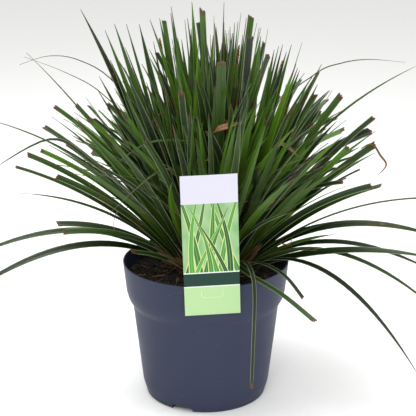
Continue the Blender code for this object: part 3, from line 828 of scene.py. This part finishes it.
def tiller_blade(rng, tuft, from_centre, bearing):
    """One blade of a tiller, drawn again until it fits."""
    outer_share = (from_centre - 0.020) / (LAST_ROOT - 0.020)
    facing = max(-math.sin(bearing), 0)
    for attempt in range(60):
        if tuft == MIDDLE:
            rise = math.radians(89 - 12 * from_centre / CORE_RADIUS + rng.uniform(-3, 2))
            turn = rng.gauss(0, 50)
        else:
            rise = math.radians(82 - (48 - 12 * facing) * outer_share + rng.gauss(0, 8))
            turn = rng.gauss(0, 19)
        steep = max(math.sin(rise), 0)
        is_cut = rng.random() < 0.08 + 0.5 * (1 - steep)
        chord = longest_chord(rise) * rng.uniform(0.62 + 0.18 * steep, 1.0) * (1 - attempt / 110)
        lift = 0.36 * max(math.radians(78) - rise, 0) * rng.uniform(0.6, 1.3)
        width = rng.uniform(5.5, 9.0) + 3.0 * steep * rng.random()
        spread = rng.uniform(-0.002, 0.002)
        at = from_centre + rng.uniform(-0.002, 0.002)
        pointing = bearing + math.radians(turn)
        root = CROWN_CENTRE + Vector(
            (
                at * math.cos(bearing) - spread * math.sin(bearing),
                at * math.sin(bearing) + spread * math.cos(bearing),
                -ROOT_DEPTH,
            )
        )
        sway = math.radians(rng.gauss(0, 8))
        roll = math.radians(rng.gauss(0, 14 + 45 * steep))
        twist = math.radians(rng.gauss(0, 18))
        blade = {
            "tuft": tuft,
            "points": arched(root, pointing, rise, chord, lift, sway),
            "bearing": pointing,
            "width": width * MM,
            "roll": roll,
            "twist": twist,
            "cut": is_cut,
        }
        if fits(blade):
            return blade
    return None


def plan_blades():
    """Every blade of the sedge, tuft by tuft, the same on each run."""
    rng = random.Random(SEED)
    blades = [leading_blade(row) for row in LEADING_BLADES]
    blades += [hanging_blade(route, width) for route, width in HANGING_BLADES]
    golden = 0.618034
    for tuft in range(OUTER_TUFTS + 1):
        tillers = MIDDLE_TILLERS if tuft == MIDDLE else OUTER_TILLERS
        for index in range(tillers):
            share = (index + 0.5) / tillers
            if tuft == MIDDLE:
                from_centre = 0.012 * math.sqrt(share)
                bearing = 2 * math.pi * golden * index
            else:
                from_centre = 0.0215 + (LAST_ROOT - 0.0235) * share
                aside = (golden * (index + 1)) % 1 - 0.5
                bearing = bearing_of(tuft) + 0.80 * TUFT_ANGLE * aside
            for _ in range(BLADES_PER_TILLER):
                blades.append(tiller_blade(rng, tuft, from_centre, bearing))
    return [blade for blade in blades if blade]


# The least half width of a leaf, and a share of the length past its tip, where it never browns.
THINNEST = 0.00025
PAST_TIP = 1.3


def crossing(blade, share):
    """A blade's midline point at a share of its length, and its directions along and across."""
    side = Vector((-math.sin(blade["bearing"]), math.cos(blade["bearing"]), 0))
    point = on_curve(blade["points"], share)
    ahead = on_curve(blade["points"], min(share + 0.02, 1))
    along = (ahead - on_curve(blade["points"], max(share - 0.02, 0))).normalized()
    across = (side - along * side.dot(along)).normalized()
    across = Matrix.Rotation(blade["roll"] + blade["twist"] * share, 3, along) @ across
    return point, along, across


def new_leaves():
    """An empty bmesh with the layers that the leaf material reads."""
    bm = bmesh.new()
    bm.loops.layers.uv.new("UVMap")
    bm.verts.layers.float_color.new("leaf_look")
    return bm


def grow_leaf(bm, blade, look, columns=8, rows=22):
    """Lays a strip along a blade's midline, folded down the middle, with a rib in each half."""
    layer = bm.verts.layers.float_color["leaf_look"]
    strip = bmesh.ops.create_grid(
        bm, x_segments=columns, y_segments=rows, size=1, calc_uvs=True
    )["verts"]
    full = max(half_width(blade, 0.4), 0.0001)
    keel = max(0.0010, FOLD * full)
    stations = {}
    for vert in strip:
        aside = vert.co.x
        share = round((vert.co.y + 1) / 2, 4)
        if share not in stations:
            stations[share] = crossing(blade, share)
        point, along, across = stations[share]
        half = max(half_width(blade, share), THINNEST)
        ribs = 0.13 * full * math.exp(-(((abs(aside) - 0.5) / 0.16) ** 2))
        fold = (keel * (abs(aside) - 0.65) + ribs) * half / full
        vert.co = point + across * (half * aside) + along.cross(across) * fold
        if blade["cut"] and share == 1:
            tear = 0.5 * aside * math.sin(40 * look[1]) + 0.25 * math.cos(9 * aside)
            vert.co += along * half * tear
        vert[layer] = look


def leaves_finished(bm, name, thickness=0.00035):
    bmesh.ops.solidify(bm, geom=bm.faces[:], thickness=thickness)
    bmesh.ops.recalc_face_normals(bm, faces=bm.faces)
    return finished(bm, name, leaf_finish, 50)


def leaf_look(blade, tone):
    """A blade's age, its shade, the share of its length where it browns, and 0 because it is alive."""
    chord = blade["points"][-1] - blade["points"][0]
    steep = max(chord.normalized().z, 0)
    fresh = tone.random() < 0.26 + 0.36 * steep**2
    age = tone.uniform(0, 0.30) if fresh else tone.uniform(0.55, 1)
    shade = tone.uniform(0.45, 1.60) if fresh else tone.uniform(0.25, 1.50)
    if blade["cut"]:
        return (age, shade, 1 - tone.uniform(0.0015, 0.0055) / chord.length, 0)
    browning = 1 - tone.uniform(0.01, 0.08)
    return (age, shade, tone.choice((PAST_TIP, PAST_TIP, browning)), 0)


leaf_finish, tree, shader, place = new_finish("sedge leaf", 0.36, 0.30)
look = node(tree, "ShaderNodeAttribute", attribute_name="leaf_look")
given = node(tree, "ShaderNodeSeparateColor", {"Color": look.outputs["Color"]}).outputs
age, shade, end, dry = given["Red"], given["Green"], given["Blue"], look.outputs["Alpha"]
flat = node(tree, "ShaderNodeUVMap").outputs["UV"]
flat_axes = node(tree, "ShaderNodeSeparateXYZ", {"Vector": flat}).outputs
over, along = flat_axes["X"], flat_axes["Y"]
side = calc(tree, "MULTIPLY", calc(tree, "ABSOLUTE", calc(tree, "SUBTRACT", over, 0.5)), 2.0)
stretch = {0: flat, 1: (9, 26, 1)}
long_grain = node(tree, "ShaderNodeVectorMath", stretch, operation="MULTIPLY").outputs[0]
streaks = cloudy(tree, long_grain, 1.0, 4.0)
patches = cloudy(tree, place, 26.0, 3.0)
old = mixed(tree, patches, (0.003, 0.009, 0.001), (0.008, 0.018, 0.009))
fresh = mixed(tree, along, (0.098, 0.185, 0.006), (0.052, 0.138, 0.003))
green = mixed(tree, age, fresh, old)
# Each blade's own random shade, times painted shade that darkens the leaf from its tip down to its foot,
# where the crown shades it.
depth = calc(tree, "MULTIPLY", shade, ranged(tree, along, 0.08, 0.75, 0.12, 0.95))
green = node(tree, "ShaderNodeHueSaturation", {"Value": depth, "Color": green}).outputs["Color"]
veins = calc(tree, "SINE", calc(tree, "MULTIPLY", over, 2 * math.pi * 9))
green = mixed(tree, ranged(tree, veins, -1.0, 1.0, 0.0, 0.12), green, (0.060, 0.105, 0.045))
# A dark line down the middle of each blade: painted shade in the crease of the midrib's fold.
green = mixed(tree, ranged(tree, side, 0.0, 0.10, 0.45, 0.0), green, (0.003, 0.008, 0.002))
edge = calc(tree, "MULTIPLY", ranged(tree, side, 0.80, 0.92), ranged(tree, age, 0.2, 0.8, 0.10, 0.85))
green = mixed(tree, edge, green, (0.230, 0.290, 0.150))
foot = ranged(tree, along, 0.03, 0.15, 0.7, 0.0)
green = mixed(tree, foot, green, (0.055, 0.058, 0.018))
green = mixed(tree, ranged(tree, along, 0.01, 0.05, 0.8, 0.0), green, (0.070, 0.024, 0.012))
rust = calc(tree, "MULTIPLY", ranged(tree, patches, 0.62, 0.68), ranged(tree, streaks, 0.52, 0.60))
green = mixed(tree, calc(tree, "MULTIPLY", rust, 0.7), green, (0.260, 0.105, 0.020))
ragged = calc(tree, "MULTIPLY_ADD", calc(tree, "SUBTRACT", streaks, 0.5), 0.030, along)
past = calc(tree, "SUBTRACT", ragged, end)
withered = mixed(tree, streaks, (0.040, 0.014, 0.006), (0.150, 0.074, 0.030))
colour = mixed(tree, ranged(tree, past, 0.0, 0.006), green, withered)
scar = ranged(tree, calc(tree, "ABSOLUTE", past), 0.0, 0.007, 0.85, 0.0)
colour = mixed(tree, scar, colour, (0.050, 0.018, 0.008))
straw = mixed(tree, ranged(tree, streaks, 0.30, 0.70), (0.105, 0.035, 0.013), (0.350, 0.195, 0.100))
straw = node(tree, "ShaderNodeHueSaturation", {"Value": shade, "Color": straw}).outputs["Color"]
tree.links.new(mixed(tree, dry, colour, straw), shader.inputs["Base Color"])
tree.links.new(ranged(tree, dry, 0.0, 1.0, 0.36, 0.75), shader.inputs["Roughness"])
# Weaker reflection towards each blade's foot stands in for the shade of the crown.
tree.links.new(ranged(tree, along, 0.15, 0.80, 0.04, 0.42), shader.inputs["Specular IOR Level"])
height = calc(tree, "MULTIPLY_ADD", streaks, 0.6, veins)
raised(tree, shader, height, 0.4, 0.0001)

blades = plan_blades()
tone = random.Random(SEED + 1)
for tuft, name in enumerate(TUFT_NAMES):
    bm = new_leaves()
    for blade in blades:
        if blade["tuft"] == tuft:
            grow_leaf(bm, blade, leaf_look(blade, tone))
    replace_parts(leaves_finished(bm, name + "_blades"), name)

# Leaves between the tufts
# A sedge's leaves grow through each other, and no line parts one tiller's from the next. These blades
# start from the same crown and stand anywhere in the dome, and fine ones as thin as hair arch out of it.

FILLING_BLADES = 400
FINE_BLADES = 46
GOLDEN_ANGLE = 2.399963


def wandering_blade(rng, index, size, widths, lifts, sway, steepest):
    """A blade anywhere in the dome that keeps off the pot, the soil and the label."""
    for attempt in range(30):
        bearing = GOLDEN_ANGLE * index + rng.gauss(0, 0.3)
        facing = max(-math.sin(bearing), 0)
        rise = math.radians(steepest - (steepest - 36 - 12 * facing) * rng.random() ** 1.2)
        from_centre = LAST_ROOT * rng.uniform(0.15, 1)
        root = CROWN_CENTRE + from_centre * Vector((math.cos(bearing), math.sin(bearing), 0))
        root.z -= ROOT_DEPTH
        chord = longest_chord(rise) * rng.uniform(*size) * (1 - attempt / 60)
        lift = math.radians(rng.uniform(*lifts)) * (1 - rise / (math.pi / 2)) ** 0.6
        turn = bearing + math.radians(rng.gauss(0, 28 + 70 * math.sin(rise) ** 4))
        blade = {
            "points": arched(root, turn, rise, chord, lift, math.radians(rng.gauss(0, sway))),
            "bearing": turn,
            "width": rng.uniform(*widths) * MM,
            "roll": math.radians(rng.gauss(0, 18 + 50 * math.sin(rise) ** 2)),
            "twist": math.radians(rng.gauss(0, 35)),
            "cut": rng.random() < 0.45 * math.cos(rise),
        }
        samples = [on_curve(blade["points"], step / 16) for step in range(17)]
        if all(clear_of_holder(point, blade["width"] / 2 + 0.0015) for point in samples):
            return blade
    return None


rng = random.Random(SEED + 2)
bm = new_leaves()
for index in range(FILLING_BLADES):
    blade = wandering_blade(
        rng, index, size=(0.62, 0.99), widths=(6.0, 12.0), lifts=(4, 38), sway=30, steepest=88
    )
    if blade:
        grow_leaf(bm, blade, leaf_look(blade, tone), columns=4, rows=20)
leaves_finished(bm, "blades_between_tufts")

bm = new_leaves()
for index in range(FINE_BLADES):
    blade = wandering_blade(
        rng, index, size=(0.60, 1.00), widths=(0.8, 2.0), lifts=(14, 55), sway=14, steepest=50
    )
    if blade:
        grow_leaf(bm, blade, leaf_look(blade, tone), columns=2, rows=20)
leaves_finished(bm, "fine_blades", 0.0003)

# Strays and dead leaves
# Single blades that the eye picks out: bent ones, thin ones that stand far out and withered ones that
# hang where they died. Each follows its own route through points in mm, from the crown outwards.

LOOSE_DRY_BLADES = 16
# Each is its route, its width in mm, its age, and how dry it is.
STRAYS = (
    (
        ((-22, 8, 146), (-70, -10, 216), (-128, -30, 286), (-168, -42, 312), (-228, -60, 284)),
        4.2, 0.8, 0,
    ),
    (
        (
            (-8, 16, 150), (-60, 16, 300), (-103, 16, 364),
            (-140, 14, 388), (-173, 12, 393), (-205, 8, 384),
        ),
        1.3, 0.8, 0,
    ),
    (((-12, 10, 150), (-70, 6, 296), (-114, 4, 352), (-155, 2, 377), (-198, 0, 394)), 1.1, 0.9, 0.3),
    (
        ((20, 14, 150), (78, 20, 322), (121, 22, 370), (152, 24, 383), (183, 24, 387), (222, 22, 384)),
        1.5, 0.9, 0,
    ),
    (
        ((170, -28, 298), (181, -32, 304), (190, -33, 292), (197, -34, 281), (188, -34, 269)),
        2.6, 0.5, 0.75,
    ),
    (
        (
            (2, -6, 150), (2, -24, 250), (-10, -42, 302),
            (-44, -54, 313), (-73, -60, 306), (-124, -70, 268),
        ),
        3.4, 0.5, 0,
    ),
    (
        ((-6, -6, 150), (-14, -36, 236), (-28, -58, 272), (-50, -64, 282), (-104, -76, 238)),
        3.4, 0.7, 0.1,
    ),
    (((8, -58, 324), (14, -60, 328), (26, -61, 332), (35, -62, 335)), 6.5, 0.5, 1.0),
    (((74, -20, 300), (82, -26, 303), (92, -31, 299), (100, -34, 291)), 4.5, 0.5, 0.9),
    (((8, -30, 340), (22, -34, 330), (34, -36, 312), (40, -36, 296)), 1.6, 0.5, 1.0),
    (((-30, -50, 190), (-18, -58, 176), (-4, -60, 164), (6, -60, 158)), 1.6, 0.4, 0.7),
    (((82, -30, 190), (88, -32, 189), (94, -32, 190), (96, -32, 197)), 1.4, 0.5, 1.0),
)


def stray_leaf(bm, route, width, look, rows=24):
    points = [Vector(point) * MM for point in route]
    reach = points[-1] - points[0]
    blade = {
        "points": points,
        "bearing": math.atan2(reach.y, reach.x),
        "width": width * MM,
        "roll": math.radians(25),
        "twist": math.radians(60),
        "cut": False,
    }
    grow_leaf(bm, blade, look, columns=4, rows=rows)


bm = new_leaves()
for route, width, age_given, dryness in STRAYS:
    stray_leaf(bm, route, width, (age_given, 1.0, PAST_TIP, dryness))
leaves_finished(bm, "stray_blades", 0.0003)

bm = new_leaves()
for index in range(LOOSE_DRY_BLADES):
    bearing = GOLDEN_ANGLE * index
    out = rng.uniform(0.030, 0.115)
    start = CROWN_CENTRE + Vector((out * math.cos(bearing), out * math.sin(bearing), 0))
    start.z += rng.uniform(0.30, 0.95) * (0.26 - 0.7 * out)
    heading = Vector((math.cos(bearing), math.sin(bearing), rng.uniform(-0.6, 0.9))).normalized()
    route = [start / MM]
    for step in range(4):
        heading += 0.55 * Vector((rng.gauss(0, 1), rng.gauss(0, 1), rng.gauss(-0.3, 0.6)))
        heading.normalize()
        route.append(route[-1] + heading * rng.uniform(5, 14))
    if all(clear_of_holder(point * MM, 0.003) for point in route):
        look = (0.5, rng.uniform(0.6, 1.3), PAST_TIP, rng.uniform(0.75, 1))
        stray_leaf(bm, route, rng.uniform(0.6, 2.2), look, 14)
leaves_finished(bm, "withered_bits", 0.0003)

# Crown and leaf sheaths
# Where the tillers stand, the soil rises in a low crown of old fibres. Each young blade comes out of
# a short split sheath, straw-coloured above and purplish brown at its foot.

SHEATH_SHARE = 0.7

crown_finish, tree, shader, place = new_finish("crown fibre", 0.9, 0.3)
stretch = {0: place, 1: (900, 900, 120)}
threads = node(tree, "ShaderNodeVectorMath", stretch, operation="MULTIPLY").outputs[0]
fibres = cloudy(tree, threads, 1.0, 4.0)
brown = mixed(tree, ranged(tree, fibres, 0.35, 0.70), (0.010, 0.006, 0.004), (0.120, 0.070, 0.038))
tree.links.new(brown, shader.inputs["Base Color"])
raised(tree, shader, fibres, 0.9, 0.001)
mound = [
    (CROWN_RADIUS * (1 - index / 16), 0.007 * math.sin(index / 16 * math.pi / 2)) for index in range(17)
]
bm = turned([(0, -0.006), (CROWN_RADIUS, -0.006), *mound], 64)
for vert in bm.verts:
    if vert.co.z > 0:
        vert.co.z += 0.0035 * noise.noise(vert.co * 260) + 0.0015 * noise.noise(vert.co * 700)
bmesh.ops.translate(bm, vec=CROWN_CENTRE, verts=bm.verts)
finished(bm, "crown", crown_finish, 80)

bm = new_leaves()
for blade in blades:
    if len(blade["points"]) == 3 and rng.random() < SHEATH_SHARE:
        root, shoulder, tip = blade["points"]
        length = rng.uniform(0.016, 0.050) / (tip - root).length
        end_point = on_curve(blade["points"], length)
        sheath = dict(blade)
        sheath["points"] = [root, root.lerp(shoulder, length), end_point]
        sheath["width"] = blade["width"] * 1.15
        sheath["cut"] = False
        look = (0.4, rng.uniform(0.5, 1.1), PAST_TIP, rng.uniform(0.55, 1))
        grow_leaf(bm, sheath, look, columns=4, rows=8)
leaves_finished(bm, "leaf_sheaths", 0.0006)

# Flower spikes
# A few short brown spikes, long dry, stand on wiry stalks among the leaves.

# Each is its stalk's route in mm. The spike is its last part.
SPIKES = (
    ((24, 12, 150), (28, 8, 300), (32, 2, 370), (36, -2, 405)),
    ((-6, 30, 150), (-34, 44, 300), (-48, 52, 380), (-52, 54, 404)),
    ((30, 40, 150), (66, 70, 290), (84, 86, 350), (90, 92, 372)),
)
SPIKE_LENGTH = 0.024
SPIKE_SCALES = 46

bm = new_leaves()
for route in SPIKES:
    stray_leaf(bm, route, 1.0, (0.9, 0.8, 0.6, 0.4))
leaves_finished(bm, "flower_stalks", 0.0007)

bm = new_leaves()
layer = bm.verts.layers.float_color["leaf_look"]
for route in SPIKES:
    points = [Vector(point) * MM for point in route]
    tip = points[-1]
    down = (points[-2] - tip).normalized()
    for index in range(SPIKE_SCALES):
        share = index / SPIKE_SCALES
        bearing = GOLDEN_ANGLE * index
        outward = Vector((math.cos(bearing), math.sin(bearing), 0))
        bulge = 0.0011 * math.sin(math.pi * (share * 0.9 + 0.08))
        there = tip + down * (SPIKE_LENGTH * (share - 0.05)) + outward * bulge
        aim = (outward * 0.5 - down).to_track_quat("Z", "Y").to_matrix().to_4x4()
        shape = Matrix.Diagonal((0.0006, 0.0006, 0.0019, 1))
        scale = bmesh.ops.create_icosphere(
            bm, subdivisions=1, radius=1, matrix=Matrix.Translation(there) @ aim @ shape
        )["verts"]
        for vert in scale:
            vert[layer] = (0.5, 0.45 + 0.4 * (index % 3), PAST_TIP, 1.0)
finished(bm, "flower_spikes", leaf_finish, 50)

# Moss and straw
# Short green-brown moss has started on the peat, in patches, because it likes the damper spots.
# Bits of dry straw have fallen on it.

MOSS_THREADS = 900
STRAWS = 44

bm = new_leaves()
for index in range(MOSS_THREADS):
    out = (SOIL_REACH - 0.003) * math.sqrt(scatter.random())
    bearing = scatter.uniform(0, 2 * math.pi)
    foot = Vector((out * math.cos(bearing), out * math.sin(bearing), SOIL_TOP - 0.001))
    if noise.noise(foot * 45) < 0.08:
        continue
    lean = Vector((scatter.uniform(-1, 1), scatter.uniform(-1, 1), scatter.uniform(0.7, 2))).normalized()
    height = scatter.uniform(1.6, 4.0)
    bent = lean * height - Vector((0, 0, 0.3 * height))
    route = [foot / MM, foot / MM + lean * height * 0.5, foot / MM + bent]
    look = (scatter.uniform(0.1, 0.9), 0.5, PAST_TIP, scatter.choice((0, 0, 0.8)))
    stray_leaf(bm, route, 0.5, look, 3)
leaves_finished(bm, "moss", 0.0002)

bm = new_leaves()
for index in range(STRAWS):
    out = (SOIL_REACH - 0.008) * math.sqrt(scatter.uniform(0.2, 1))
    bearing = scatter.uniform(0, 2 * math.pi)
    foot = Vector((out * math.cos(bearing), out * math.sin(bearing), SOIL_TOP + 0.0012)) / MM
    heading = Vector((scatter.uniform(-1, 1), scatter.uniform(-1, 1), 0)).normalized()
    bend = Vector((heading.y, -heading.x, 0)) * scatter.uniform(-2, 2)
    reach = scatter.uniform(3, 11)
    route = [foot, foot + heading * reach + bend, foot + heading * 2 * reach + Vector((0, 0, 0.8))]
    if math.hypot(route[-1].x, route[-1].y) < SOIL_REACH / MM - 2:
        width = scatter.uniform(0.4, 1.1)
        stray_leaf(bm, route, width, (0.5, scatter.uniform(0.25, 0.9), PAST_TIP, 1.0), 6)
leaves_finished(bm, "straw", 0.0003)
